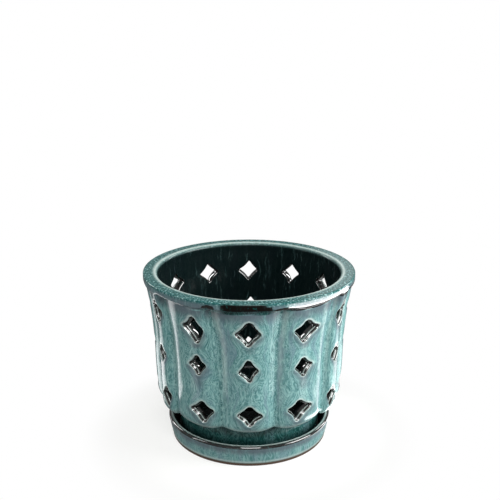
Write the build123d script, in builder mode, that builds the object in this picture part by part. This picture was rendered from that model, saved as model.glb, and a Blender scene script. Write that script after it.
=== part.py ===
from build123d import *
from math import cos, radians, sin, sqrt
import os

# A lobed ceramic orchid pot with star cut-outs, standing in its own saucer.
# Millimetres, +Z up. The origin is the centre of the saucer's underside, and the front faces -Y.

# Saucer
saucer_height = 18.7
saucer_wall = 5.0
saucer_lean = 3.9
saucer_floor = 5.0
saucer_recess = 2.0
saucer_foot_width = 6.5
saucer_bead_round = 2.4
saucer_inner_bevel = 1.2
saucer_foot_bevel = 0.6
saucer_clearance = 1.8

# Pot as a whole, with heights measured from its own foot
pot_height = 139.7
rim_overhang = 0.8
rim_width = 12.0
rim_drop = 7.0
rim_outer_round = 3.4
rim_inner_round = 2.6

# Lobed wall
lobe_count = 12
waist_radius = 80.0
waist_height = 62.0
shoulder_flare = 7.2
lower_taper = 1.6
valley_depth = 4.4
valley_round = 9.0
lobe_end_height = 26.0
curl_height = 13.0
curl_reach = 11.0
curl_flattening = 0.6
wall = 9.0

# Plain base below the lobes, with its foot ring and drain
base_radius = 60.5
base_taper = 1.0
base_wall = 8.5
base_floor = 8.0
foot_recess = 4.0
foot_width = 8.0
foot_bevel = 0.8
drain_radius = 7.0
notch_count = 4
notch_width = 9.0
notch_height = 2.5

# Floor of the bowl, above the lower ends of the lobes
bowl_rise = 9.0
well_rise = 2.5

# Star cut-outs: half width and half height at the neck, and how far the lip flares at the crest
upper_star = {"half_width": 8.6, "half_height": 8.2, "flare": 2.4}
middle_star = {"half_width": 6.9, "half_height": 6.8, "flare": 2.0}
lower_star = {"half_width": 7.8, "half_height": 7.0, "flare": 2.2}
upper_row_drop = 18.7
middle_row_lift = 2.7
lower_row_rise = 17.0
star_pinch = 0.14
lip_depth = 5.5
cut_overrun = 3.0

# Worked out from the sizes above
pot_foot_z = saucer_recess + saucer_floor
pot_top_z = pot_foot_z + pot_height
rim_under_height = pot_height - rim_drop
rim_radius = waist_radius + shoulder_flare + rim_overhang
mouth_radius = rim_radius - rim_width
inner_waist_radius = waist_radius - wall
base_foot_radius = base_radius - base_taper
well_radius = base_radius - base_wall
well_floor_height = foot_recess + base_floor
curl_top_height = lobe_end_height + curl_height
half_pitch = radians(180.0 / lobe_count)
upper_row_height = rim_under_height - upper_row_drop
lower_row_height = lobe_end_height + lower_row_rise
middle_row_height = (upper_row_height + lower_row_height) / 2.0 + middle_row_lift


def curl_share(height):
    """How far down the curl of the lobes' lower ends a height lies, from 0 to 1."""
    return min(1.0, max(0.0, (curl_top_height - height) / curl_height))


def crest_radius(height):
    """Radius of the lobes' crests: a parabola up to the shoulder, a straight taper and a quarter ellipse."""
    if height > waist_height:
        rise = (height - waist_height) / (rim_under_height - waist_height)
        return waist_radius + shoulder_flare * rise**2
    fall = (waist_height - height) / (waist_height - lobe_end_height)
    curl = 1.0 - sqrt(1.0 - curl_share(height) ** 2)
    return waist_radius - lower_taper * fall - curl_reach * curl


def lobed_line(height):
    """Draw the lobed outline at a height: a wide arc for each lobe, tangent to a hollow arc on each side."""
    crest = crest_radius(height)
    valley = crest - valley_depth * (1.0 - curl_flattening * curl_share(height) ** 2)
    hollow_centre = valley + valley_round
    offset = crest - hollow_centre * cos(half_pitch)
    reach = hollow_centre * sin(half_pitch)
    lobe_round = (offset**2 + reach**2 - valley_round**2) / (2.0 * (offset + valley_round))
    lobe_centre = crest - lobe_round
    share = lobe_round / (lobe_round + valley_round)
    touch_out = lobe_centre + share * (hollow_centre * cos(half_pitch) - lobe_centre)
    touch_side = share * reach
    pitch = 360.0 / lobe_count
    for lobe in range(lobe_count):
        turn = pitch * lobe - 90.0
        left = Vector(touch_out, -touch_side).rotate(Axis.Z, turn)
        top = Vector(crest, 0).rotate(Axis.Z, turn)
        right = Vector(touch_out, touch_side).rotate(Axis.Z, turn)
        hollow = Vector(valley, 0).rotate(Axis.Z, turn + pitch / 2.0)
        next_left = Vector(touch_out, -touch_side).rotate(Axis.Z, turn + pitch)
        ThreePointArc(left, top, right)
        ThreePointArc(right, hollow, next_left)


def star_line(half_width, half_height):
    """Draw a four-pointed star: a hollow arc from each tip to the next."""
    tips = [(half_width, 0), (0, half_height), (-half_width, 0), (0, -half_height)]
    for tip, next_tip in zip(tips, tips[1:] + tips[:1]):
        middle = (Vector(*tip) + Vector(*next_tip)) * 0.5 * (1.0 - star_pinch)
        ThreePointArc(tip, middle, next_tip)


def star_cutter(star, height):
    """A star tool for the front lobe: a flared mouth at the crest and a straight neck through the wall."""
    crest = crest_radius(height)
    flare_slope = star["flare"] / lip_depth
    with BuildPart() as cutter:
        for depth in (lip_depth, -cut_overrun):
            flare = flare_slope * (lip_depth - depth)
            face_centre = (0, depth - crest, pot_foot_z + height)
            with BuildSketch(Plane(face_centre, x_dir=(1, 0, 0), z_dir=(0, -1, 0))):
                with BuildLine():
                    star_line(star["half_width"] + flare, star["half_height"] + flare)
                make_face()
        loft(ruled=True)
        neck = cutter.faces().sort_by(Axis.Y)[-1]
        extrude(neck, amount=crest - lip_depth - well_radius)
    return cutter.part


cutters = [
    star_cutter(upper_star, upper_row_height),
    star_cutter(middle_star, middle_row_height),
    star_cutter(lower_star, lower_row_height),
]

# Heights of the lobed outlines: even steps down to the curl, then closer ones round it
upper_bands = 6
curl_steps = (0.5, 0.8, 0.95, 1.0)
band = (rim_under_height - curl_top_height) / upper_bands
stations = [rim_under_height - band * step for step in range(upper_bands + 1)]
stations += [curl_top_height - curl_height * step for step in curl_steps]

with BuildPart() as pot:
    for station in stations:
        with BuildSketch(Plane.XY.offset(pot_foot_z + station)):
            with BuildLine():
                lobed_line(station)
            make_face()
    loft(ruled=True)

    # Thick rounded rim
    with BuildSketch(Plane.XZ) as rim_profile:
        with BuildLine():
            Polyline(
                (0, pot_foot_z + rim_under_height),
                (rim_radius, pot_foot_z + rim_under_height),
                (rim_radius, pot_top_z),
                (mouth_radius, pot_top_z),
                (0, pot_top_z),
                close=True,
            )
        make_face()
        rim_edge = rim_profile.vertices().group_by(Axis.Y)[-1].sort_by(Axis.X)[-1]
        fillet(rim_edge, rim_outer_round)
    revolve(axis=Axis.Z)

    # Plain base with its foot ring
    with BuildSketch(Plane.XZ) as base_profile:
        with BuildLine():
            Polyline(
                (0, pot_foot_z + foot_recess),
                (base_foot_radius - foot_width, pot_foot_z + foot_recess),
                (base_foot_radius - foot_width, pot_foot_z),
                (base_foot_radius, pot_foot_z),
                (base_radius, pot_foot_z + lobe_end_height),
                (0, pot_foot_z + lobe_end_height),
                close=True,
            )
        make_face()
        chamfer(base_profile.vertices().group_by(Axis.Y)[0], foot_bevel)
    revolve(axis=Axis.Z)

    # Inside: a round bowl that narrows to a well in the base
    with BuildSketch(Plane.XZ) as bowl_profile:
        with BuildLine():
            Polyline(
                (0, pot_top_z),
                (mouth_radius, pot_top_z),
                (mouth_radius, pot_foot_z + rim_under_height),
                (inner_waist_radius, pot_foot_z + waist_height),
                (inner_waist_radius - lower_taper, pot_foot_z + lobe_end_height + bowl_rise),
                (well_radius, pot_foot_z + lobe_end_height + well_rise),
                (well_radius, pot_foot_z + well_floor_height),
                (0, pot_foot_z + well_floor_height),
                close=True,
            )
        make_face()
    revolve(axis=Axis.Z, mode=Mode.SUBTRACT)
    mouth_edge = pot.edges().filter_by(GeomType.CIRCLE).group_by(Axis.Z)[-1].sort_by(SortBy.RADIUS)[0]
    fillet(mouth_edge, rim_inner_round)

    # Star cut-outs, one column on each lobe
    with PolarLocations(0, lobe_count):
        add(cutters, mode=Mode.SUBTRACT)

    # Drain hole, and notches that let the water out under the foot ring
    with BuildSketch(Plane.XY.offset(pot_foot_z + foot_recess)):
        Circle(drain_radius)
    extrude(amount=base_floor, mode=Mode.SUBTRACT)
    with BuildSketch(Plane.XY.offset(pot_foot_z)):
        with PolarLocations(base_foot_radius - foot_width / 2.0, notch_count, start_angle=180.0 / notch_count):
            Rectangle(2.0 * foot_width, notch_width)
    extrude(amount=notch_height, mode=Mode.SUBTRACT)
pot.part.label = "pot"

# Saucer: a low leaning dish with a rounded edge, on a bare foot ring
dish_floor_radius = base_foot_radius + saucer_clearance
saucer_foot_radius = dish_floor_radius + saucer_wall
saucer_rim_radius = saucer_foot_radius + saucer_lean
with BuildPart() as saucer:
    with BuildSketch(Plane.XZ) as dish_profile:
        with BuildLine():
            Polyline(
                (0, saucer_recess),
                (saucer_foot_radius - saucer_foot_width, saucer_recess),
                (saucer_foot_radius - saucer_foot_width, 0),
                (saucer_foot_radius, 0),
                (saucer_rim_radius, saucer_height),
                (saucer_rim_radius - saucer_wall, saucer_height),
                (dish_floor_radius, pot_foot_z),
                (0, pot_foot_z),
                close=True,
            )
        make_face()
        inner_edge, outer_edge = dish_profile.vertices().group_by(Axis.Y)[-1].sort_by(Axis.X)
        fillet(outer_edge, saucer_bead_round)
        chamfer(inner_edge, saucer_inner_bevel)
        chamfer(dish_profile.vertices().group_by(Axis.Y)[0], saucer_foot_bevel)
    revolve(axis=Axis.Z)
saucer.part.label = "saucer"

os.makedirs("parts", exist_ok=True)
export_step(pot.part, "parts/pot.step")
export_step(saucer.part, "parts/saucer.step")
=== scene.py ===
import math

import bmesh
import bpy
import numpy as np
from bpy.props import FloatProperty, FloatVectorProperty, IntProperty, PointerProperty
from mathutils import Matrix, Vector


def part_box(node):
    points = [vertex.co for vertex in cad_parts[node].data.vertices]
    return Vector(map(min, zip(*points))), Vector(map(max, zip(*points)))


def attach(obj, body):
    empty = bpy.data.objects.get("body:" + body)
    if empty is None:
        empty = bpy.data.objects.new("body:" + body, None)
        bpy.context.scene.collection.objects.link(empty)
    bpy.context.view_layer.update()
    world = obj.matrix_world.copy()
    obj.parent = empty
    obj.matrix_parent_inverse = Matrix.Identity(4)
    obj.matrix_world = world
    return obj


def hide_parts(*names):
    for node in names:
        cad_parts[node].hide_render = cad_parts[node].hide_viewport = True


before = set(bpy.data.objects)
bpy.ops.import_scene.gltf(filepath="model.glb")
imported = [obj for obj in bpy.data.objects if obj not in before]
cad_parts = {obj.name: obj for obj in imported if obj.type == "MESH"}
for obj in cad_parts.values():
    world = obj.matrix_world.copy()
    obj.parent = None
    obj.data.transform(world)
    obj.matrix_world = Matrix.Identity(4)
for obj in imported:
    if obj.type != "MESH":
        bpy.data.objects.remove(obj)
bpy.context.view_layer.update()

bl_info = {
    "name": "Lobed orchid pot",
    "version": (1, 0, 0),
    "blender": (4, 5, 0),
    "location": "3D View > Sidebar > Orchid pot",
    "description": "Builds a glazed orchid pot with star cut-outs, its saucer and a plain studio",
    "category": "Add Mesh",
}

MM = 0.001
WHITE = (1.0, 1.0, 1.0, 1.0)
POT_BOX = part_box("pot")
SAUCER_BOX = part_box("saucer")

# Seed of the small differences between the hand-cut stars and along the rim
SEED = 7

# Points round one cut-out, a fourth of them on each side of its cell
AROUND = 64
SIDE = AROUND // 4

# Steps of a cell's grid: over the outside, the lip, the neck, the inner lip and the inside
CELL_STEPS = (14, 8, 2, 4, 4)

# How far the cells stay below the rim, and outside and inside above the lobes' lower ends, in millimetres
RIM_GAP, CURL_GAP, BOWL_GAP = 1.7, 3.0, 5.5

# Where the dark glaze below the rim starts on the left and ends on the right, in degrees from the front
BAND_START, BAND_END = (-15.5, -13.0), (9.0, 15.0)

# Hand-cut stars of the five front columns, each column from the top down: how far they are off their even
# places, in millimetres right and up, and how many times as wide and tall as even stars they are
HAND_SHIFTS = {
    -2: (-0.7 + 3.2j, -1.2 - 0.6j, 3.9 + 0.3j),
    -1: (1.2 - 0.1j, 1.0 + 1.7j, 3.7 + 0.6j),
    0: (-0.2 - 0.6j, 0.1 + 0.2j, 0.9 + 0.2j),
    1: (1.2 - 1.4j, 1.9 - 0.2j, -0.1 + 2.0j),
    2: (2.2 + 1.5j, 1.0 - 0.7j, -2.3 + 0.3j),
}
HAND_SIZES = {
    -2: (1.4 + 0.95j, 0.9 + 0.8j, 1.05 + 1.0j),
    -1: (0.74 + 1.24j, 0.83 + 1.0j, 1.03 + 1.09j),
    0: (0.79 + 1.08j, 0.83 + 1.14j, 1.1 + 1.0j),
    1: (0.91 + 0.94j, 0.77 + 0.96j, 1.05 + 0.97j),
    2: (1.4 + 1.05j, 1.1 + 0.95j, 1.1 + 1.0j),
}

# How far the creases at these angles lean to the right on the wall and below the rim, in degrees
CREASE_LEANS = {-45: (-7.5, -9.3), -15: (-1.8, -6.0), 15: (1.0, 2.4), 45: (7.5, 9.0)}

POT_MASKS = ("bend", "lip", "halo", "break", "pool", "inside", "base", "crown")
SAUCER_MASKS = ("lip", "halo", "break", "inside", "bare")

# Noises in the glaze: how they are drawn, their size in millimetres, detail, roughness and distortion
NOISES = {
    "runs": ("down", 3.333, 4.0, 0.6, 0.0),
    "hairs": ("thread", 1.25, 2.0, 0.5, 0.0),
    "wide": ("down", 9.091, 2.0, 0.5, 0.0),
    "curds": ("slack", 2.326, 4.0, 0.62, 1.2),
    "beads": ("even", 3.846, 2.0, 0.5, 0.0),
    "mottle": ("even", 1.786, 3.0, 0.5, 0.0),
    "specks": ("even", 1.111, 3.0, 0.5, 0.0),
    "stream": ("down", 10.526, 1.5, 0.5, 0.6),
    "swirl": ("slack", 7.692, 2.0, 0.5, 0.8),
}

# Shares by which heights are scaled, so that a pattern is drawn out down the wall
DRAWN = {"down": 0.13, "thread": 0.05, "slack": 0.5}

# Fine flow lines are the contours of a noise: which one, and how closely they lie
CONTOURS = {"grain": ("stream", 95.0), "curls": ("swirl", 70.0)}

# Layers of the glaze, the lowest first: texture, levels where it starts and is full, strength, mask, colour
LAYERS = (
    ("tone", 0.76, 0.58, 0.55, None, "deep"),
    ("tone", 0.77, 1.00, 0.60, None, "pale"),
    ("grain", 0.20, 1.00, 0.30, None, "pale"),
    ("grain", -0.30, -1.00, 0.35, None, "deep"),
    ("curls", 0.10, 1.00, 0.35, None, "pale"),
    ("curls", -0.30, -1.00, 0.40, None, "deep"),
    ("hairs", 0.52, 0.64, 0.35, None, "pale"),
    ("hairs", 0.46, 0.34, 0.40, None, "deep"),
    ("wide", 0.50, 0.66, 0.50, None, "slate"),
    ("wide", 0.15, 0.50, 0.90, "halo", "mauve"),
    ("beads", 0.58, 0.46, 0.90, "pool", "deep"),
    ("specks", 0.47, 0.62, 0.45, "pool", "pale"),
    ("mottle", 0.00, 0.30, 0.95, "crown", "deep"),
    ("mottle", 0.46, 0.54, 0.97, "crown", "green"),
    ("mottle", 0.42, 0.33, 0.75, "crown", "pale"),
    ("wide", 0.95, 0.40, 0.96, "base", "green"),
    ("curls", 0.30, 1.00, 0.30, "base", "teal"),
    ("curls", -0.30, -1.00, 0.45, "base", "dark_glaze_and_painted_shade"),
    # Painted shade inside the pot, in the cut-outs' necks and inside the saucer
    ("runs", 1.30, 0.55, 0.985, "inside", "dark_glaze_and_painted_shade"),
    ("runs", 1.00, 0.40, 0.90, "break", "green"),
    ("curds", 0.22, 0.46, 0.98, "break", "brown"),
    # Painted highlights share this layer with thin glaze: lines on the lower lips, crease flanks, the hem
    # and curl, the saucer's inner edge
    ("curds", 0.20, 0.45, 0.80, "lip", "foam_and_painted_highlight"),
    ("specks", 0.00, 0.30, 1.00, "bare", "clay"),
)

# Softboxes that face the middle of the pot: place, width and height, in metres, and power in watts
LAMP_AIM = (0.0, 0.0, 0.08)
SOFTBOXES = {
    "key": ((1.0, -0.27, 0.62), (0.7, 0.55), 13.5),
    "right back": ((0.82, 0.57, 0.5), (0.1, 0.5), 2.9),
    "left back": ((-0.82, 0.57, 0.5), (0.1, 0.5), 2.2),
    "left front": ((-0.95, -0.2, 0.6), (0.07, 0.9), 2.0),
    "top": ((0.03, -0.65, 0.72), (0.35, 0.35), 4.2),
    "rim sheen": ((0.18, 0.8, 0.43), (0.14, 0.12), 0.04),
    "low front": ((0.0, -0.46, 0.07), (0.5, 0.06), 0.14),
}

# Strips on the floor, for white surfaces that the glaze mirrors: start, end, width, in metres, and power
STRIP_LIFT = 0.004
FLOOR_STRIPS = {
    "near rim": ((0.3, -0.37), (0.45, -0.1), 0.09, 1.3),
    "far rim": ((0.465, -0.1), (0.41, 0.24), 0.09, 1.3),
    "right front": ((0.125, -0.1), (0.21, -0.108), 0.045, 0.025),
    "left front": ((-0.125, -0.1), (-0.21, -0.108), 0.05, 0.012),
    "saucer": ((0.085, -0.06), (0.1, 0.03), 0.025, 0.045),
    "left": ((-0.135, 0.0), (-0.21, 0.112), 0.07, 0.09),
    "far left": ((-0.22, 0.05), (-0.36, 0.16), 0.09, 0.11),
    "right": ((0.125, -0.015), (0.21, 0.112), 0.08, 0.085),
    "far right": ((0.22, 0.05), (0.36, 0.16), 0.05, 0.035),
}


def length(name, description, millimetres):
    """A length property, written in millimetres and kept in metres."""
    return FloatProperty(
        name=name, description=description, default=millimetres * MM, unit="LENGTH", precision=4
    )


def lengths(name, description, millimetres):
    """A length for each row of cut-outs, the top row first."""
    return FloatVectorProperty(
        name=name, description=description, size=len(millimetres), unit="LENGTH", precision=4,
        default=[value * MM for value in millimetres],
    )


def linear(hex_colour):
    """An sRGB hex colour as linear RGB."""
    channels = [int(hex_colour[i:i + 2], 16) / 255.0 for i in (1, 3, 5)]
    return tuple(c / 12.92 if c <= 0.04045 else ((c + 0.055) / 1.055) ** 2.4 for c in channels)


def colour(name, description, hex_colour):
    """A colour property whose default is an sRGB hex colour."""
    return FloatVectorProperty(
        name=name, description=description, subtype="COLOR", size=3, min=0.0, max=1.0,
        default=linear(hex_colour),
    )


class PotSizes(bpy.types.PropertyGroup):
    """Sizes of the pot, with heights measured from its foot."""

    foot_z: length("Foot", "Height of the pot's foot above the floor", POT_BOX[0].z / MM)
    height: length("Height", "Foot to rim", (POT_BOX[1].z - POT_BOX[0].z) / MM)
    rim_radius: length("Rim radius", "Outermost radius of the rim", POT_BOX[1].x / MM)
    rim_width: length("Rim width", "Width of the rim across its top", 12.0)
    rim_drop: length("Rim drop", "Height of the rim's outer face", 7.0)
    rim_wave: length("Rim wave", "How far its lower edge rises over the creases", 1.0)
    rim_outer_round: length("Rim outer round", "Radius of the rim's outer edge", 1.6)
    rim_inner_round: length("Rim inner round", "Radius of the rim's inner edge", 2.8)
    lobes: IntProperty(name="Lobes", description="Number of upright lobes", default=12, min=6, max=24)
    waist_radius: length("Waist radius", "Crest radius at the waist", 80.0)
    waist_height: length("Waist height", "Height of the waist", 62.0)
    shoulder_flare: length("Shoulder flare", "How far crests lean out below the rim", 7.2)
    lower_taper: length("Lower taper", "How far crests draw in below the waist", 1.6)
    valley_depth: length("Valley depth", "Depth of the creases between lobes", 5.2)
    lobe_power: FloatProperty(
        name="Lobe power", description="How flat a lobe is before its edge", default=2.3, min=1.0
    )
    crease_width: length("Crease width", "Half width of the rounding in a crease", 2.2)
    lobe_end: length("Lobe end", "Height of the lobes' lower ends", 26.0)
    curl_height: length("Curl height", "Height of the curl at their lower ends", 13.0)
    curl_reach: length("Curl reach", "How far the lower ends curl in", 11.0)
    hem_wave: length("Hem wave", "How far the lower ends rise towards the creases", 2.2)
    wall: length("Wall", "Wall thickness at a crest", 9.0)
    base_radius: length("Base radius", "Radius of the plain base", 60.5)
    base_taper: length("Base taper", "How far the base narrows to its foot", 1.0)
    base_wall: length("Base wall", "Wall thickness of the base", 8.5)
    base_floor: length("Base floor", "Thickness of the floor", 8.0)
    foot_recess: length("Foot recess", "Height of the hollow in the foot ring", 4.0)
    foot_width: length("Foot width", "Width of the foot ring", 8.0)
    notch_width: length("Notch width", "Width of the water notches", 9.0)
    notch_height: length("Notch height", "Height of the water notches", 2.5)
    drain_radius: length("Drain radius", "Radius of the drain hole", 7.0)
    row_heights: lengths("Row heights", "Heights of the rows of cut-outs", (114.0, 81.2, 43.0))
    star_widths: lengths("Star widths", "Half widths of the cut-outs at the neck", (8.6, 6.9, 7.8))
    star_talls: lengths("Star heights", "Half heights of the cut-outs at the neck", (8.2, 6.8, 7.0))
    star_flares: lengths("Star flares", "How far the lips flare", (2.6, 2.2, 2.4))
    lip_depth: length("Lip depth", "Depth of a cut-out's flared lip", 3.4)
    inner_bead: length("Inner bead", "Radius of a cut-out's inner lip", 1.8)


class SaucerSizes(bpy.types.PropertyGroup):
    """Sizes of the saucer."""

    height: length("Height", "Foot to edge", SAUCER_BOX[1].z / MM)
    edge_radius: length("Edge radius", "Outermost radius of the rounded edge", SAUCER_BOX[1].x / MM)
    foot_radius: length("Foot radius", "Outer radius of the foot ring", 66.3)
    wall: length("Wall", "Wall thickness", 5.0)
    floor: length("Floor", "Thickness of the floor", 5.0)
    recess: length("Recess", "Height of the hollow in the foot ring", 2.0)
    foot_width: length("Foot width", "Width of the foot ring", 6.5)
    bare_band: length("Bare band", "Height of the unglazed clay", 3.2)


class GlazeColours(bpy.types.PropertyGroup):
    """Colours of the glaze and the clay."""

    teal: colour("Teal", "Main glaze colour", "#699B9B")
    pale: colour("Pale", "Curdled and thin glaze", "#A6CFCB")
    # Thin glaze on edges, and painted highlights: lines on the lower lips, by the creases, on the lobes'
    # hem and curl and inside the saucer's crest
    foam_and_painted_highlight: colour("Foam", "Glaze drawn thin on an edge", "#CFE0DA")
    deep: colour("Deep", "Glaze where it runs thick", "#3A6D6E")
    mauve: colour("Mauve", "Haze round cut-outs and under the rim", "#5C6A72")
    slate: colour("Slate", "Blue-grey runs", "#6E8796")
    brown: colour("Brown", "Glaze breaking over an edge", "#100807")
    green: colour("Green", "Thick glaze on the plain base", "#175450")
    # Painted shade: near-black inside the pot, in the cut-outs' necks, under the base and inside the
    # saucer; also the dark curl lines of the base's glaze
    dark_glaze_and_painted_shade: colour("Night", "Glaze inside the pot and the cut-outs", "#040D0E")
    clay: colour("Clay", "Bare fired clay", "#574438")


class StudioSettings(bpy.types.PropertyGroup):
    """Camera and floor."""

    distance: length("Distance", "Camera to axis", 676.7)
    height: length("Height", "Camera height", 364.5)
    offset: length("Offset", "Camera to the right", 0.8)
    tilt: FloatProperty(
        name="Tilt", description="Angle below level", default=math.radians(16.62), subtype="ANGLE"
    )
    lens: FloatProperty(name="Lens", description="Focal length", default=61.4, unit="CAMERA")
    floor_reach: length("Floor reach", "Half the width of the floor", 4000.0)
    floor: colour("Floor", "Colour of the floor", "#F6F6F4")


def in_millimetres(group):
    """The lengths of a property group in millimetres, by name."""
    return {
        key: np.array(getattr(group, key)) / MM
        for key, prop in group.bl_rna.properties.items()
        if prop.type == "FLOAT" and prop.unit == "LENGTH"
    }


def smooth(low, high, value):
    """Smooth step from 0 at low to 1 at high."""
    t = np.clip((value - low) / (high - low), 0.0, 1.0)
    return t * t * (3.0 - 2.0 * t)


def bell(value, width):
    """A bell curve, 1 at 0."""
    return np.exp(-((value / width) ** 2))


def closer(share):
    """Shares from 0 to 1 moved towards both ends, so that the creases get more points."""
    return share - 0.6 * np.sin(math.tau * share) / math.tau


def place(angle, radius, height):
    """Points at an angle counted from the front to the right, a radius and a height."""
    return np.stack(np.broadcast_arrays(radius * np.sin(angle), -radius * np.cos(angle), height), axis=-1)


def rounded(corners, steps):
    """A profile through corners given as (radius, height, round): straight runs joined by tangent arcs."""
    places = np.array([radius + 1j * height for radius, height, _ in corners])
    line = [places[:1]]
    for before, corner, after, (_, _, size) in zip(places, places[1:], places[2:], corners[1:]):
        a, b = before - corner, after - corner
        half = 0.5 * abs(np.angle(b / a))
        run = min(size / math.tan(half), 0.49 * abs(a), 0.49 * abs(b))
        a, b = a / abs(a), b / abs(b)
        middle = corner + (a + b) / abs(a + b) * run / math.cos(half)
        start, end = corner + a * run - middle, corner + b * run - middle
        line.append(middle + start * np.exp(1j * np.linspace(0.0, np.angle(end / start), steps + 1)))
    line = np.concatenate([*line, places[-1:]])
    return np.stack([line.real, line.imag], axis=1)


def refined(profile, longest):
    """The profile with its long runs divided so that no step is longer than given."""
    parts = []
    for start, end in zip(profile[:-1], profile[1:]):
        count = max(1, math.ceil(np.linalg.norm(end - start) / longest))
        parts.append(start + (end - start) * np.arange(count)[:, None] / count)
    return np.concatenate(parts + [profile[-1:]])


class PotForm:
    """The pot's surfaces as formulas, in millimetres above its foot."""

    def __init__(self, sizes):
        for name, value in in_millimetres(sizes).items():
            setattr(self, name, value)
        self.lobes, self.power = sizes.lobes, sizes.lobe_power
        self.half = math.pi / self.lobes
        self.under = self.height - self.rim_drop
        self.curl_top = self.lobe_end + self.curl_height
        self.curl_run = (self.curl_height + self.curl_reach) / 2.0
        self.mouth = self.rim_radius - self.rim_width
        self.bowl_low = self.lobe_end + BOWL_GAP
        between = 0.5 * (self.row_heights[:-1] + self.row_heights[1:])
        self.row_edges = [self.under - RIM_GAP, *between, self.lobe_end + CURL_GAP]

    def crest(self, v):
        """Height and crest radius at a place v on the profile: a parabola above the waist, a straight
        taper below it and a quarter of a squarish ellipse round the curl, where v counts its length."""
        squareness = 0.8
        turn = np.clip((self.curl_top - v) / self.curl_run, 0.0, math.pi / 2.0)
        curl = self.curl_top - self.curl_height * np.sin(turn) ** squareness
        height = np.where(v < self.curl_top, curl, v)
        rise = np.clip((height - self.waist_height) / (self.under - self.waist_height), 0.0, None)
        fall = np.clip((self.waist_height - height) / (self.waist_height - self.lobe_end), 0.0, None)
        radius = self.waist_radius + self.shoulder_flare * rise**2 - self.lower_taper * fall
        return height, radius - self.curl_reach * (1.0 - np.cos(turn) ** squareness)

    def lobed(self, angle, crest, depth):
        """Polar radius of the lobed outline: a lobe falls off with a power of the way to the crease, which
        a parabola rounds."""
        fold = np.abs((angle + self.half) % (2.0 * self.half) - self.half) / self.half
        share = self.crease_width / (self.waist_radius * self.half)
        crease = 0.5 * self.power / share * np.clip(fold - 1.0 + share, 0.0, None) ** 2
        return crest - depth * (fold**self.power - crease) / (1.0 - 0.5 * self.power * share)

    def outer(self, angle, v):
        """Radius and height of the lobed wall; the valleys grow shallow and end higher round the curl."""
        flattening = 0.6
        height, crest = self.crest(v)
        share = np.clip((self.curl_top - height) / self.curl_height, 0.0, 1.0)
        radius = self.lobed(angle, crest, self.valley_depth * (1.0 - flattening * share**2))
        return radius, height + self.hem(angle) * share**2

    def hem(self, angle):
        """How far the lower ends of the lobes rise towards the valleys: a power of the valleys' wave."""
        return self.hem_wave * self.valley(angle) ** 3

    def valley(self, angle):
        """A cosine wave, 0 on the crests and 1 in the valleys."""
        return 0.5 - 0.5 * np.cos(self.lobes * angle)

    def inner(self, height):
        """Radius of the round inside: a gentle curve from the waist to the mouth, a slight taper below."""
        rise = np.clip((height - self.waist_height) / (self.under - self.waist_height), 0.0, 1.0)
        fall = np.clip((self.waist_height - height) / (self.waist_height - self.bowl_low), 0.0, 1.0)
        waist = self.waist_radius - self.wall
        return waist + (self.mouth - waist) * rise**1.3 - self.lower_taper * fall

    def leaned(self, angle, height):
        """Angles with those near the hand-made creases moved by a bell curve, which changes and grows wider
        below the rim."""
        rise = smooth(0.7 * self.height, 0.92 * self.height, height)
        width = np.radians(8.0 + 2.0 * rise)
        moved = angle
        for crease, (low, high) in CREASE_LEANS.items():
            apart = (angle - math.radians(crease) + math.pi) % math.tau - math.pi
            moved = moved + np.radians(low + (high - low) * rise) * bell(apart, width)
        return moved

    def around(self, angle, height):
        """Degrees to the right of the front, up to half a turn either way, once the creases lean."""
        return np.degrees((self.leaned(angle, height) + math.pi) % math.tau - math.pi)

    def band(self, angle, height):
        """Share of the dark glaze that hangs in scallops below the rim at the front: the height above a
        folded sine wave."""
        hang, scallop, blur = 0.8, 1.5, 0.4
        about = self.around(angle, height)
        edge = self.under - hang - scallop * np.abs(np.sin(self.lobes * angle))
        along = smooth(*BAND_START, about) * (1.0 - smooth(*BAND_END, about))
        return along * smooth(-blur, blur, height - edge)

    def ring_angles(self):
        """Angles of the rings above and below the wall, which meet the cells' own points."""
        lobe = np.arange(self.lobes)[:, None] + closer(np.arange(SIDE) / SIDE)
        return (2.0 * lobe.reshape(-1, 1) - 1.0) * self.half


def grid_quads(columns, rows, start):
    """Corner numbers of a grid's quads, counted from start; the last column joins the first."""
    index = start + np.arange(columns * rows).reshape(columns, rows)
    after = np.roll(index, -1, axis=0)
    return np.stack([index[:, :-1], after[:, :-1], after[:, 1:], index[:, 1:]], axis=-1).reshape(-1, 4)


def make_piece(name, grids, masks, material):
    """A mesh object from grids of points in millimetres, welded where they meet. Each grid has a dictionary
    of masks, which become float attributes on the points."""
    weld = 0.003 * MM
    starts = np.cumsum([0] + [grid.shape[0] * grid.shape[1] for grid in grids])
    points = np.concatenate([grid.reshape(-1, 3) for grid in grids]) * MM
    faces = np.concatenate([grid_quads(*grid.shape[:2], start) for grid, start in zip(grids, starts)])
    mesh = bpy.data.meshes.new(name)
    mesh.from_pydata(points.tolist(), [], faces.tolist())
    for key in masks[0]:
        values = np.concatenate([np.asarray(mask[key], dtype=np.float32).reshape(-1) for mask in masks])
        mesh.attributes.new(key, "FLOAT", "POINT").data.foreach_set("value", values)
    work = bmesh.new()
    work.from_mesh(mesh)
    bmesh.ops.remove_doubles(work, verts=work.verts, dist=weld)
    work.to_mesh(mesh)
    work.free()
    mesh.polygons.foreach_set("use_smooth", np.ones(len(mesh.polygons), dtype=bool))
    mesh.materials.append(material)
    mesh.update()
    piece = bpy.data.objects.new(name, mesh)
    bpy.context.scene.collection.objects.link(piece)
    return piece


def cell_edge(half_width, low, high):
    """Outline of a cell round a cut-out, across and up the wall: it starts half way up the right side and
    goes round anticlockwise, with the same number of steps on each side."""
    step = (np.arange(AROUND) + SIDE // 2) % AROUND
    along = (step % SIDE) / SIDE
    which = step // SIDE
    level = 2.0 * closer(along) - 1.0
    across = np.choose(which, [1.0, -level, -1.0, level])
    up = np.choose(which, [along, 1.0, 1.0 - along, 0.0])
    return half_width * across + 1j * (low + (high - low) * up)


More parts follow.
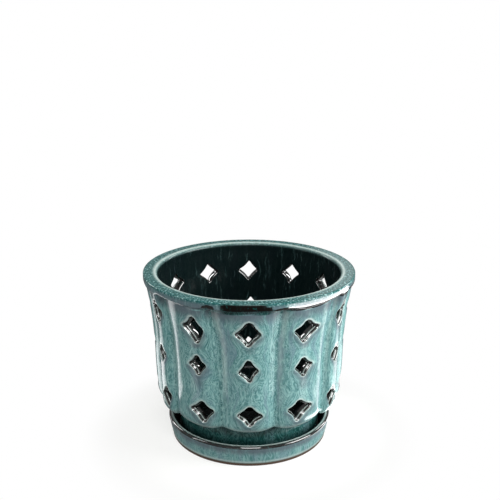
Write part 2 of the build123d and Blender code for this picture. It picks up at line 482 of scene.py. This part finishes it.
def star_outlines(form, rng):
    """Necks of the hand-cut stars as complex numbers, across and up from each row's middle, in millimetres.
    A side is a parabola from tip to tip, drawn in at its middle, and a Fourier blur rounds the tips."""
    blur, growth = 1.6, 1.12
    uneven, skew, turned, drawn, stray = 0.07, 0.06, 0.05, 0.05, 0.8
    shape = (len(form.row_heights), form.lobes)
    tips = np.array([1.0, 1j, -1.0, -1j])
    tips = tips.real * form.star_widths[:, None, None] + 1j * tips.imag * form.star_talls[:, None, None]
    tips = tips * (1.0 + uneven * rng.standard_normal((*shape, 4)))
    swing = skew * rng.standard_normal((*shape, 4)) + turned * rng.standard_normal((*shape, 1))
    tips = (tips * np.exp(1j * swing))[..., None]
    after = np.roll(tips, -1, axis=2)
    pinch = 0.15 + drawn * rng.standard_normal((*shape, 4))
    bend = (0.5 - pinch)[..., None] * (tips + after)
    t = np.arange(SIDE) / SIDE
    sides = (1.0 - t) ** 2 * tips + 2.0 * t * (1.0 - t) * bend + t**2 * after
    outline = sides.reshape(*shape, AROUND)
    wave = np.fft.fftfreq(AROUND) * math.tau
    outline = growth * np.fft.ifft(np.fft.fft(outline) * np.exp(-0.5 * (blur * wave) ** 2))
    for column, sizes in HAND_SIZES.items():
        star = outline[:, column % form.lobes]
        sizes = np.array(sizes)[:, None]
        outline[:, column % form.lobes] = star.real * sizes.real + 1j * star.imag * sizes.imag
    drift = stray * (rng.standard_normal(shape) + 1j * rng.standard_normal(shape))
    for column, shifts in HAND_SHIFTS.items():
        drift[:, column % form.lobes] = shifts
    return outline + drift[..., None]


def outward(outline):
    """Unit normals of closed outlines that run anticlockwise."""
    along = np.roll(outline, -1, axis=-1) - np.roll(outline, 1, axis=-1)
    return -1j * along / np.abs(along)


class StarRow:
    """The cells round one row of cut-outs. Going in from its edge, a cell crosses the outside, goes over a
    lip whose slope swings, with a slight hollow between two rounded edges, follows the neck through the
    wall, rolls over the inner lip on a quarter circle and spreads over the round inside. The arrays' axes
    are the lobe, the way round the cut-out and the way in."""

    def __init__(self, form, row, neck):
        self.form = form
        self.middle, self.flare = form.row_heights[row], form.star_flares[row]
        self.low, self.high = form.row_edges[row + 1], form.row_edges[row]
        self.ring = form.crest(np.array(self.middle))[1]
        self.centre = neck.mean(axis=-1)[:, None, None] + 1j * self.middle
        self.normal = outward(neck)[..., None]
        self.lip = neck[..., None] + 1j * self.middle + self.normal * self.flare
        outside = self.outside()
        through = self.through(*[values[..., -1:] for values in outside])
        within = self.within(*[values[..., -1:] for values in through])
        stretches = zip(outside, through, within)
        self.side, self.out, self.height = [np.concatenate(values, axis=-1) for values in stretches]
        turn = 2.0 * form.half * np.arange(form.lobes)[:, None, None]
        self.turn = turn + np.arctan2(self.side, self.out)

    def outside(self):
        """Sideways, outward and upward places on the outside and the lip."""
        steps, lip_steps = CELL_STEPS[:2]
        share = np.linspace(0.0, 1.0, steps) ** 1.1
        roll = (np.arange(lip_steps) + 0.5) / lip_steps
        slope = 0.5 * math.pi * (roll + 0.33 * np.sin(math.tau * roll))
        edge = cell_edge(self.ring * self.form.half, self.low, self.high)[None, :, None]
        drawn = np.cumsum(np.cos(slope)) / np.cos(slope).sum()
        sunk = np.cumsum(np.sin(slope)) / np.sin(slope).sum()
        spread = edge + (self.lip - edge) * share
        self.front = np.concatenate([spread, self.lip - self.normal * self.flare * drawn], axis=-1)
        depth = np.concatenate([0.0 * share, self.form.lip_depth * sunk])
        angle = self.front.real / self.ring
        radius, height = self.form.outer(angle, self.front.imag)
        return radius * np.sin(angle), radius * np.cos(angle) - depth, height

    def through(self, side, out, height):
        """Places along the neck and over the inner lip, from the neck's outer end."""
        neck_steps, bead_steps = CELL_STEPS[2:4]
        bead = self.form.inner_bead
        step = np.arange(1, neck_steps + bead_steps + 1)
        share = np.clip(step / neck_steps, 0.0, 1.0)
        curl = 0.5 * math.pi * np.clip((step - neck_steps) / bead_steps, 0.0, 1.0)
        grow = bead * (1.0 - np.cos(curl))
        side, height = side + self.normal.real * grow, height + self.normal.imag * grow
        back = np.sqrt(self.form.inner(height) ** 2 - side**2) + bead * (1.0 - np.sin(curl))
        return side, out + (back - out) * share, height

    def within(self, side, out, height):
        """Places on the round inside, from the inner lip to the cell's edge."""
        share = np.linspace(0.0, 1.0, CELL_STEPS[4] + 1)[1:] ** 1.3
        edge = cell_edge(self.form.half, max(self.low, self.form.bowl_low), self.high)[None, :, None]
        start = np.arctan2(side, out)
        angle = start + (edge.real - start) * share
        rise = height + (edge.imag - height) * share
        radius = self.form.inner(rise)
        return radius * np.sin(angle), radius * np.cos(angle), rise

    def points(self):
        """The cells' points, with the creases leaned."""
        angle = self.form.leaned(self.turn, self.height)
        return place(angle, np.hypot(self.side, self.out), self.height + self.form.foot_z)

    def masks(self):
        """Where the glaze changes: by the reach from the lip, the way round it, the crease and the rim."""
        form, front = self.form, self.front
        steps, lip_steps, neck_steps, bead_steps, _ = CELL_STEPS
        order = np.arange(sum(CELL_STEPS)) + np.zeros(self.side.shape)
        rolled = np.clip((order - steps + 1) / lip_steps, 0.0, 1.0)
        inside = np.clip((order - steps - lip_steps - neck_steps + 1) / bead_steps, 0.0, 1.0)
        flat = rolled == 0.0
        beyond = [(0, 0), (0, 0), (0, order.shape[-1] - front.shape[-1])]
        angle = front.real / self.ring
        fold = form.half - np.abs(angle)
        up = self.normal.imag

        # Pale colour: a line of thin glaze along the upper lips, and painted highlights: two thin lines on
        # the lower lips, one flank by each crease and the hem
        reach = np.where(flat, np.pad(np.abs(front - self.lip), beyond), 0.0)
        line = bell(reach, 0.8) * np.clip(0.5 + 0.6 * up, 0.0, 1.0)
        # Painted highlights: two thin lines along the lower lips
        thin = 0.9 * np.maximum(bell(rolled - 0.25, 0.09), bell(rolled - 0.875, 0.08))
        thin = thin * ~flat * (order < front.shape[-1]) * smooth(0.1, -0.4, up)
        # Painted highlight on one flank by each crease, stronger higher up
        painted_flank_highlight = bell(math.radians(2.6) - form.half - angle, math.radians(1.3))
        painted_flank_highlight = painted_flank_highlight * smooth(30.0, 90.0, front.imag)
        # Painted highlight along the hem of the lobes' lower ends, weaker in the valleys
        hem = smooth(form.row_edges[-1] + 5.0, form.row_edges[-1], front.imag)
        hem = hem * (1.0 - 0.8 * form.valley(angle) ** 4)
        # pale holds only the painted flank and hem highlights
        pale = np.pad(np.maximum(0.28 * painted_flank_highlight, 0.4 * hem), beyond)

        # Haze below each cut-out, a drip that runs down from it, and haze on the shoulder
        across = front.real - self.centre.real
        below = self.centre.imag - front.imag
        drip = bell(across, 5.0) * smooth(5.0, 10.0, below) * (1.0 - smooth(13.0, 24.0, below))
        haze = bell(reach, 3.4) * smooth(0.2, -0.9, up)
        shoulder = smooth(form.under - 14.0, form.under - 3.0, self.height)
        haze = np.maximum(haze, shoulder) * flat

        # How far the runs are pushed aside, as water parts round a post
        post, calm = 8.5, (11.0, 18.0)
        apart = np.hypot(across, below)
        bend = (post / np.maximum(apart, post)) ** 2 * (1.0 - smooth(*calm, apart))
        band = form.band(self.turn, self.height) * flat
        return {
            "bend": np.pad(-across * bend, beyond),
            "lip": np.maximum(thin, np.maximum(pale, line) * (1.0 - smooth(0.0, 0.2, rolled))),
            "halo": np.maximum(haze, np.pad(0.6 * drip, beyond)),
            "break": smooth(0.0, 0.35, rolled) * (1.0 - smooth(0.6, 1.0, inside)),
            "pool": np.pad(bell(fold, math.radians(0.9)), beyond) * (1.0 - rolled),
            # Painted shade in the necks and on the round inside; the front band takes a share of the same
            # dark colour
            "inside": np.maximum(smooth(0.5, 1.0, rolled), 0.45 * band),
            "base": band,
            "crown": np.zeros(order.shape),
        }


def rim_ring(form, rng):
    """Points and masks of the rim: up from the lobed wall into a shallow cove, out under a lip that rises
    over the valleys, round the outer edge, across the top, round the inner edge and down the inside."""
    angle = form.ring_angles()
    low, crown, rim, mouth = form.row_edges[0], form.height, form.rim_radius, form.mouth
    phases = zip((5, 7, 17, 23), rng.uniform(0, 6, 4))
    stray = [0.2 * np.sin(count * angle + phase) for count, phase in phases]
    edge = form.under + form.rim_wave * form.valley(angle) + sum(stray)
    cove = form.outer(angle, form.under)[0]
    over = rim - cove
    rows = [
        (form.outer(angle, low)[0], low),
        (cove, edge - 0.9),
        (cove + 0.06 * over, edge - 0.2),
        (cove + 0.3 * over, edge + 0.35),
        (cove + 0.6 * over, edge + 0.35),
        (rim - 1.0, edge + 0.1),
        (rim - 0.5, edge + 0.35),
        (rim - 0.15, edge + 0.8),
        (rim, edge + 1.35),
        (rim, edge + 1.6),
        (rim, form.under + 3.6),
    ]
    profile = rounded([
        (rim, crown - form.rim_outer_round - 0.3, 0.0),
        (rim, crown, form.rim_outer_round),
        (mouth, crown, form.rim_inner_round),
        (mouth, form.under, 0.0),
    ], steps=9)
    rows += refined(profile, 1.6)[:-1].tolist()
    rows += [(form.inner(height), height) for height in (form.under, low)]
    radius, height = [np.concatenate([row[i] + 0.0 * angle for row in rows], axis=1) for i in (0, 1)]
    points = place(form.leaned(angle, height), radius, height + form.foot_z)
    return points, rim_masks(form, angle, radius, height, edge)


def rim_masks(form, angle, radius, height, edge):
    """Where the rim's glaze changes: haze and dark breaks on its face, mottle and a pale line on top."""
    # Rows of the rim, counted from the wall, that end the cove, the lip and the outer edge
    cove_rows, lip_rows, face_rows = 3, 9, 20
    crown, mouth = form.height, form.mouth
    order = np.arange(radius.shape[1]) + 0.0 * angle
    about = form.around(angle, height)
    on_top = smooth(crown - 3.0, crown - 0.6, height)
    within = smooth(mouth + 1.4, mouth + 0.2, radius) * (order >= lip_rows)
    outer = order < face_rows
    face = (order > 0) * outer * (radius > mouth + 4.0) * (1.0 - smooth(crown - 1.3, crown - 0.5, height))

    # The dark band at the front, with a blot to its left and a thin line that goes on to its right
    tall = np.interp(about, [-15.5, -13.0, 7.0, 15.0, 16.0], [-4.0, 7.0, 7.0, 0.0, -4.0])
    front = form.band(angle, height) * smooth(-0.4, 0.8, tall - height + edge)
    blot = np.minimum(1.0, 1.4 * bell(about + 20.5, 3.0) * bell(height - form.under - 2.3, 2.1))
    right = smooth(8.0, 18.0, about) * (1.0 - smooth(100.0, 130.0, about))
    line = right * np.interp(height - edge, [-2.4, -1.4, 1.9, 2.7], [0.0, 1.0, 1.0, 0.0])
    dark = np.maximum(front * smooth(0.6, 1.8, height - edge), np.maximum(blot, line))
    return {
        "bend": np.zeros(radius.shape),
        "lip": on_top * bell(radius - mouth - 2.4, 1.3),
        "halo": face,
        "break": face * dark,
        "pool": np.where(order < cove_rows, form.valley(angle) ** 6, 0.0),
        # Painted shade round the inner edge and down the inside; the front band takes a share of the same
        # dark colour
        "inside": np.maximum(within * (1.0 - 0.5 * on_top), 0.45 * front * outer),
        "base": front * outer,
        "crown": on_top,
    }


def base_ring(form):
    """Points and masks from the inside of the bowl down to the well, through the drain hole, out over the
    underside and the notched foot ring, up the plain base, out under the lobes and round their curl."""
    angle = form.ring_angles()
    well = form.base_radius - form.base_wall
    floor = form.foot_recess + form.base_floor
    foot = form.base_radius - form.base_taper
    overhang, notch_blur, curl_steps = 4.5, 0.6, 10
    profile = rounded([
        (float(form.inner(form.bowl_low)), form.bowl_low, 0.0),
        (well, form.lobe_end + 1.5, 8.0),
        (well, floor, 5.0),
        (form.drain_radius, floor, 1.6),
        (form.drain_radius, form.foot_recess, 1.2),
        (foot - form.foot_width, form.foot_recess, 1.4),
        (foot - form.foot_width, 0.0, 1.0),
        (foot, 0.0, 1.2),
        (form.base_radius, form.lobe_end, 3.5),
        (form.base_radius + overhang, form.lobe_end, 0.0),
    ], steps=6)
    profile = refined(profile, 3.5)
    underside = int(np.argmin(profile[:, 1]))

    # Notches are cut into the foot ring, and the lower ends of the lobes rise towards the valleys
    in_foot = (profile[:, 1] < form.notch_height) & (profile[:, 0] > foot - form.foot_width - 1.0)
    aside = np.radians(np.abs((np.degrees(angle) % 90.0) - 45.0)) * foot
    half_notch = form.notch_width / 2.0
    notch = 1.0 - smooth(half_notch - notch_blur, half_notch + notch_blur, aside)
    height = profile[:, 1] + in_foot * (form.notch_height - profile[:, 1]) * notch
    outermost = smooth(form.base_radius + 0.5, form.base_radius + overhang, profile[:, 0])
    height = height + form.hem(angle) * outermost * (np.arange(len(profile)) > underside)

    end = form.curl_top - form.curl_run * math.pi / 2.0
    curl = np.linspace(end, form.row_edges[-1], curl_steps)[None, :]
    curl_radius, curl_height = form.outer(angle, curl)
    radius = np.concatenate([profile[:, 0] + 0.0 * angle, curl_radius], axis=1)
    height = np.concatenate([height, curl_height], axis=1)
    points = place(form.leaned(angle, height), radius, height + form.foot_z)
    return points, base_masks(form, angle, height, underside, len(profile))


def base_masks(form, angle, height, underside, start):
    """Where the base's colour changes: painted shade within and underneath, green glaze outside, painted
    shade below the lobes and low down, and a painted highlight up the curl."""
    order = np.arange(height.shape[1]) + 0.0 * angle
    valley = form.valley(angle)
    # Painted shade below the lobes, reaching lower under the creases, and low down by the saucer
    shadow = smooth(form.lobe_end - 4.0 - 9.0 * valley**2, form.lobe_end, height) * (order < start + 2)
    shadow = np.maximum(shadow, smooth(13.5, 9.5, height) * (order < start))
    # Painted highlight up the curl of the lobes' lower ends, weaker in the valleys
    pale = np.interp(order, [start + 3, start + 6, start + 9], [0.0, 0.4, 0.4])
    masks = {name: np.zeros(height.shape) for name in POT_MASKS}
    # Painted shade: near-black within and underneath, and three quarters of the shade outside
    masks["inside"] = np.where(order < underside, 1.0, 0.75 * shadow)
    masks["base"] = np.interp(order, [underside - 1, underside, start - 1, start + 2], [0.0, 1.0, 1.0, 0.0])
    masks["pool"] = np.where(order >= start, valley**8, 0.0)
    masks["lip"] = pale * (1.0 - 0.8 * valley**4)
    return masks


def saucer_ring(sizes):
    """Points and masks of the saucer: out over the underside, down and round the foot ring, up the leaning
    wall, over the rounded edge, down the inside and in across the floor."""
    columns, swell = 192, 0.5
    angle = math.tau * np.arange(columns)[:, None] / columns
    foot, edge = sizes["foot_radius"], sizes["edge_radius"] + swell
    recess, top, wall = sizes["recess"], sizes["height"], sizes["wall"]
    profile = rounded([
        (0.0, recess, 0.0),
        (foot - sizes["foot_width"], recess, 1.2),
        (foot - sizes["foot_width"], 0.0, 0.7),
        (foot, 0.0, 0.9),
        (edge, top, 2.45),
        (edge - wall, top, 2.3),
        (foot - wall, recess + sizes["floor"], 2.0),
        (0.0, recess + sizes["floor"], 0.0),
    ], steps=9)
    profile = refined(profile, 1.6)
    radius, height = profile[:, 0] + 0.0 * angle, profile[:, 1] + 0.0 * angle
    crest = int(np.argmax(profile[:, 1]))
    order = np.arange(len(profile)) + 0.0 * angle
    outside = order <= crest
    bare = sizes["bare_band"]
    below_edge = smooth(top - 9.5, top - 4.0, height) * (1.0 - smooth(top - 2.6, top - 1.2, height))
    masks = {
        # A pale line of thin glaze above the bare foot, and a painted highlight just inside the crest
        "lip": np.maximum(outside * bell(height - bare - 1.0, 0.7), 0.8 * bell(order - crest - 1.0, 1.6)),
        "halo": outside * below_edge,
        "break": outside * smooth(top - 2.4, top - 1.6, height),
        # Painted shade: near-black inside the saucer
        "inside": smooth(0.0, 3.0, order - crest),
        "bare": outside * (1.0 - smooth(bare - 0.4, bare + 0.4, height)),
    }
    return place(angle, radius, height), masks


def add(tree, kind, inputs, out=0, **settings):
    """Add a shader node with settings, set or link its inputs, and give back one of its outputs."""
    node = tree.nodes.new("ShaderNode" + kind)
    for key, value in settings.items():
        setattr(node, key, value)
    for key, value in inputs.items():
        if isinstance(value, bpy.types.NodeSocket):
            tree.links.new(value, node.inputs[key])
        else:
            node.inputs[key].default_value = value
    return None if out is None else node.outputs[out]


def new_material(name):
    """An empty material and its node tree."""
    material = bpy.data.materials.new(name)
    material.use_nodes = True
    material.node_tree.nodes.clear()
    return material, material.node_tree


def glaze_textures(tree, mask, names):
    """The noises and flow lines with these names, and the tone of the runs and curds together. A slow drift
    bends the patterns, so that no streak is straight, and they part round the cut-outs."""
    drift_size, drift_reach = 14.286, 6.0
    here = add(tree, "TexCoord", {}, out="Object")
    scale = 1.0 / (drift_size * MM)
    drift = add(tree, "TexNoise", {"Vector": here, "Scale": scale, "Detail": 2.0}, out="Color")
    reach = (drift_reach * MM,) * 3
    bent = add(tree, "VectorMath", {0: drift, 1: reach, 2: here}, operation="MULTIPLY_ADD")
    if "bend" in mask:
        side = add(tree, "VectorMath", {0: (0.0, 0.0, MM), 1: here}, operation="CROSS_PRODUCT")
        side = add(tree, "VectorMath", {0: side}, operation="NORMALIZE")
        side = add(tree, "VectorMath", {0: side, "Scale": mask["bend"]}, operation="SCALE")
        bent = add(tree, "VectorMath", {0: side, 1: (MM,) * 3, 2: bent}, operation="MULTIPLY_ADD")
    pattern = {
        name: add(tree, "Mapping", {"Vector": bent, "Scale": (1.0, 1.0, share)})
        for name, share in DRAWN.items()
    }
    pattern["even"] = here

    texture = {}
    sources = {source for source, _ in CONTOURS.values()}
    for name, (drawn, size, *character) in NOISES.items():
        if name in names or name in sources:
            inputs = {"Vector": pattern[drawn], "Scale": 1.0 / (size * MM)}
            inputs.update(zip(("Detail", "Roughness", "Distortion"), character))
            texture[name] = add(tree, "TexNoise", inputs)
    for name, (source, count) in CONTOURS.items():
        lines = add(tree, "Math", {0: texture[source], 1: count}, operation="MULTIPLY")
        texture[name] = add(tree, "Math", {0: lines}, operation="SINE")
    tone = {0: texture["runs"], 1: 0.5, 2: texture["curds"]}
    texture["tone"] = add(tree, "Math", tone, operation="MULTIPLY_ADD")
    return texture


def glaze_colour(tree, layers, texture, mask, colours, flow):
    """The glaze's colour: each layer lies where its texture goes from one level to the other, within its
    mask, and the layers without a mask are as strong as flow says."""
    tint = {key: (*getattr(colours, key), 1.0) for key in GlazeColours.__annotations__}
    body = tint["teal"]
    for source, start, full, strength, where, shade in layers:
        strength = strength if where else strength * flow
        share = add(
            tree, "MapRange",
            {"Value": texture[source], "From Min": start, "From Max": full, "To Max": strength},
            interpolation_type="SMOOTHSTEP",
        )
        if where:
            share = add(tree, "Math", {0: share, 1: mask[where]}, operation="MULTIPLY")
        body = add(tree, "Mix", {0: share, 6: body, 7: tint[shade]}, out=2, data_type="RGBA")
    return body


def glaze_shine(tree, texture, mask):
    """The glaze's roughness and specular level: wet on the dark breaks, dull inside, matte on bare clay."""
    rough = add(
        tree, "MapRange",
        {"Value": texture["runs"], "From Min": 0.3, "From Max": 0.7, "To Min": 0.11, "To Max": 0.19},
    )
    rough = add(tree, "Mix", {0: mask["break"], 2: rough, 3: 0.04}, data_type="FLOAT")
    apart = {0: mask["inside"], 1: mask["break"]}
    dull = add(tree, "Math", apart, operation="SUBTRACT", use_clamp=True)
    if "base" in mask:
        band = add(tree, "Math", {0: mask["base"], 1: mask["break"]}, operation="MULTIPLY")
        dull = add(tree, "Math", {0: dull, 1: band}, operation="MAXIMUM")
    rough = add(tree, "Math", {0: dull, 1: 0.1, 2: rough}, operation="MULTIPLY_ADD")
    if "bare" in mask:
        rough = add(tree, "Math", {0: mask["bare"], 1: 0.75, 2: rough}, operation="MULTIPLY_ADD")
    shine = add(tree, "MapRange", {"Value": mask["break"], "To Min": 0.5, "To Max": 1.0})
    shine = add(tree, "Mix", {0: dull, 2: shine, 3: 0.12}, data_type="FLOAT")
    return rough, shine


def glaze(name, colours, mask_names, flow):
    """Reactive stoneware glaze, dipped and run down over dark clay: to the eye a wet teal skin, curdled and
    streaked downwards as much as flow says, pale where it is thin, dark where it breaks over an edge."""
    # The lip mask carries painted highlights as well as thin glaze, and the inside mask carries painted
    # shade
    material, tree = new_material(name)
    mask = {
        key: add(tree, "Attribute", {}, out="Fac", attribute_name=key, attribute_type="GEOMETRY")
        for key in mask_names
    }
    layers = [layer for layer in LAYERS if layer[4] is None or layer[4] in mask]
    texture = glaze_textures(tree, mask, {layer[0] for layer in layers})

    # The dark breaks have ragged, rather sharp edges
    ragged = {0: texture["curds"], 1: 0.6, 2: mask["break"]}
    ragged = add(tree, "Math", ragged, operation="MULTIPLY_ADD")
    mask["break"] = add(
        tree, "MapRange", {"Value": ragged, "From Min": 0.6, "From Max": 0.85},
        interpolation_type="SMOOTHSTEP",
    )

    body = glaze_colour(tree, layers, texture, mask, colours, flow)
    rough, shine = glaze_shine(tree, texture, mask)
    relief = add(tree, "MapRange", {"Value": mask["break"], "To Min": 0.2, "To Max": 0.03})
    bump = {"Height": texture["tone"], "Strength": relief, "Distance": 0.1 * MM}
    skin = add(
        tree, "BsdfPrincipled",
        {
            "Base Color": body, "Roughness": rough, "IOR": 1.52, "Specular IOR Level": shine,
            "Normal": add(tree, "Bump", bump),
        },
    )
    add(tree, "OutputMaterial", {"Surface": skin}, out=None)
    return material


def paper(studio):
    """Matte white studio paper: it shows the object's soft shadow, is plain white to the camera farther off
    and throws less light back on the object than it shows."""
    near, beyond, lit = 0.3, 0.14, 0.76
    fade_start, fade_end = 85.0 * MM, 150.0 * MM
    material, tree = new_material("Matte studio paper")
    here = add(tree, "TexCoord", {}, out="Object")
    far = add(tree, "VectorMath", {0: here}, out="Value", operation="LENGTH")
    fade = add(
        tree, "MapRange", {"Value": far, "From Min": fade_start, "From Max": fade_end},
        interpolation_type="SMOOTHSTEP",
    )
    seen = add(tree, "LightPath", {}, out="Is Camera Ray")
    shade = add(tree, "MapRange", {"Value": fade, "To Min": near, "To Max": beyond})
    matte = add(tree, "BsdfDiffuse", {"Color": shade})
    lift = add(tree, "Math", {0: seen, 1: lit}, operation="MULTIPLY")
    glow = add(tree, "Emission", {"Color": (*studio.floor, 1.0), "Strength": lift})
    close = add(tree, "AddShader", {0: matte, 1: glow})
    white = add(tree, "Emission", {"Color": WHITE, "Strength": 1.0})
    share = add(tree, "Math", {0: fade, 1: seen}, operation="MULTIPLY")
    surface = add(tree, "MixShader", {0: share, 1: close, 2: white})
    add(tree, "OutputMaterial", {"Surface": surface}, out=None)
    return material


def white_world(scene):
    """A world that is plain white to the camera and grey to the glaze and the matte surfaces."""
    grey = (0.26, 0.26, 0.26, 1.0)
    world = bpy.data.worlds.new("White studio")
    scene.world = world
    world.use_nodes = True
    tree = world.node_tree
    tree.nodes.clear()
    rays = tree.nodes.new("ShaderNodeLightPath").outputs
    direct = {0: rays["Is Camera Ray"], 1: rays["Is Transmission Ray"]}
    seen = add(tree, "Math", direct, operation="MAXIMUM")
    soft = add(tree, "Background", {"Color": grey, "Strength": 1.0})
    white = add(tree, "Background", {"Color": WHITE, "Strength": 1.0})
    surface = add(tree, "MixShader", {0: seen, 1: soft, 2: white})
    add(tree, "OutputWorld", {"Surface": surface}, out=None)


def add_lamp(scene, name, size, power, where, turn):
    """A rectangular lamp that the camera doesn't see."""
    light = bpy.data.lights.new(name, "AREA")
    light.shape = "RECTANGLE"
    light.size, light.size_y = size
    light.energy = power
    lamp = bpy.data.objects.new(name, light)
    lamp.location = where
    lamp.rotation_euler = turn
    lamp.visible_camera = False
    scene.collection.objects.link(lamp)


def add_lamps(scene):
    """The softboxes, turned to the middle of the pot, and the strips on the floor, turned up."""
    for name, (where, size, power) in SOFTBOXES.items():
        turn = (Vector(LAMP_AIM) - Vector(where)).to_track_quat("-Z", "Y").to_euler()
        add_lamp(scene, name, size, power, where, turn)
    for name, (start, end, width, power) in FLOOR_STRIPS.items():
        where = ((start[0] + end[0]) / 2.0, (start[1] + end[1]) / 2.0, STRIP_LIFT)
        turn = (math.pi, 0.0, math.atan2(end[0] - start[0], start[1] - end[1]))
        add_lamp(scene, name + " strip", (width, math.dist(start, end)), power, where, turn)


class ORCHIDPOT_OT_pot(bpy.types.Operator):
    """Build the glazed pot over the CAD pot"""

    bl_idname = "orchid_pot.pot"
    bl_label = "Build pot"

    def execute(self, context):
        form = PotForm(context.scene.orchid_pot)
        rng = np.random.default_rng(SEED)
        necks = star_outlines(form, rng)
        grids, masks = map(list, zip(rim_ring(form, rng), base_ring(form)))
        for row, neck in enumerate(necks):
            cells = StarRow(form, row, neck)
            grids += list(cells.points())
            mask = cells.masks()
            masks += [{key: mask[key][lobe] for key in mask} for lobe in range(form.lobes)]
        material = glaze("Run teal stoneware glaze", context.scene.orchid_glaze, POT_MASKS, flow=1.0)
        pot = make_piece("glazed_pot", grids, masks, material)
        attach(pot, "pot")
        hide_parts("pot")
        return {"FINISHED"}


class ORCHIDPOT_OT_saucer(bpy.types.Operator):
    """Build the glazed saucer over the CAD saucer"""

    bl_idname = "orchid_pot.saucer"
    bl_label = "Build saucer"

    def execute(self, context):
        points, mask = saucer_ring(in_millimetres(context.scene.orchid_saucer))
        colours = context.scene.orchid_glaze
        material = glaze("Run teal glaze on bare-footed stoneware", colours, SAUCER_MASKS, flow=0.8)
        saucer = make_piece("glazed_saucer", [points], [mask], material)
        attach(saucer, "saucer")
        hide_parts("saucer")
        return {"FINISHED"}


class ORCHIDPOT_OT_studio(bpy.types.Operator):
    """Set up the floor, the world, the lamps and the camera"""

    bl_idname = "orchid_pot.studio"
    bl_label = "Set up studio"

    def execute(self, context):
        scene, studio = context.scene, context.scene.orchid_studio
        scene.view_settings.view_transform = "Standard"
        reach = studio.floor_reach
        corners = [(-reach, -reach, 0), (reach, -reach, 0), (reach, reach, 0), (-reach, reach, 0)]
        mesh = bpy.data.meshes.new("floor")
        mesh.from_pydata(corners, [], [(0, 1, 2, 3)])
        mesh.materials.append(paper(studio))
        floor = bpy.data.objects.new("floor", mesh)
        scene.collection.objects.link(floor)
        white_world(scene)
        add_lamps(scene)
        camera = bpy.data.objects.new("camera", bpy.data.cameras.new("camera"))
        camera.data.lens = studio.lens
        camera.location = (studio.offset, -studio.distance, studio.height)
        camera.rotation_euler = (math.pi / 2.0 - studio.tilt, 0.0, 0.0)
        scene.collection.objects.link(camera)
        scene.camera = camera
        return {"FINISHED"}


class ORCHIDPOT_PT_panel(bpy.types.Panel):
    """Sizes, colours and build steps of the orchid pot"""

    bl_label = "Orchid pot"
    bl_space_type = "VIEW_3D"
    bl_region_type = "UI"
    bl_category = "Orchid pot"

    def draw(self, context):
        for name in SETTINGS:
            box = self.layout.box()
            settings = getattr(context.scene, name)
            for key in type(settings).__annotations__:
                box.prop(settings, key)
            if name in STEPS:
                box.operator(STEPS[name].bl_idname)


SETTINGS = {
    "orchid_glaze": GlazeColours,
    "orchid_pot": PotSizes,
    "orchid_saucer": SaucerSizes,
    "orchid_studio": StudioSettings,
}
STEPS = {
    "orchid_pot": ORCHIDPOT_OT_pot,
    "orchid_saucer": ORCHIDPOT_OT_saucer,
    "orchid_studio": ORCHIDPOT_OT_studio,
}
CLASSES = (*SETTINGS.values(), *STEPS.values(), ORCHIDPOT_PT_panel)


def register():
    for item in CLASSES:
        bpy.utils.register_class(item)
    for name, group in SETTINGS.items():
        setattr(bpy.types.Scene, name, PointerProperty(type=group))


def unregister():
    for name in SETTINGS:
        delattr(bpy.types.Scene, name)
    for item in reversed(CLASSES):
        bpy.utils.unregister_class(item)


def main():
    register()
    bpy.ops.orchid_pot.pot()
    bpy.ops.orchid_pot.saucer()
    bpy.ops.orchid_pot.studio()


if __name__ == "__main__":
    main()
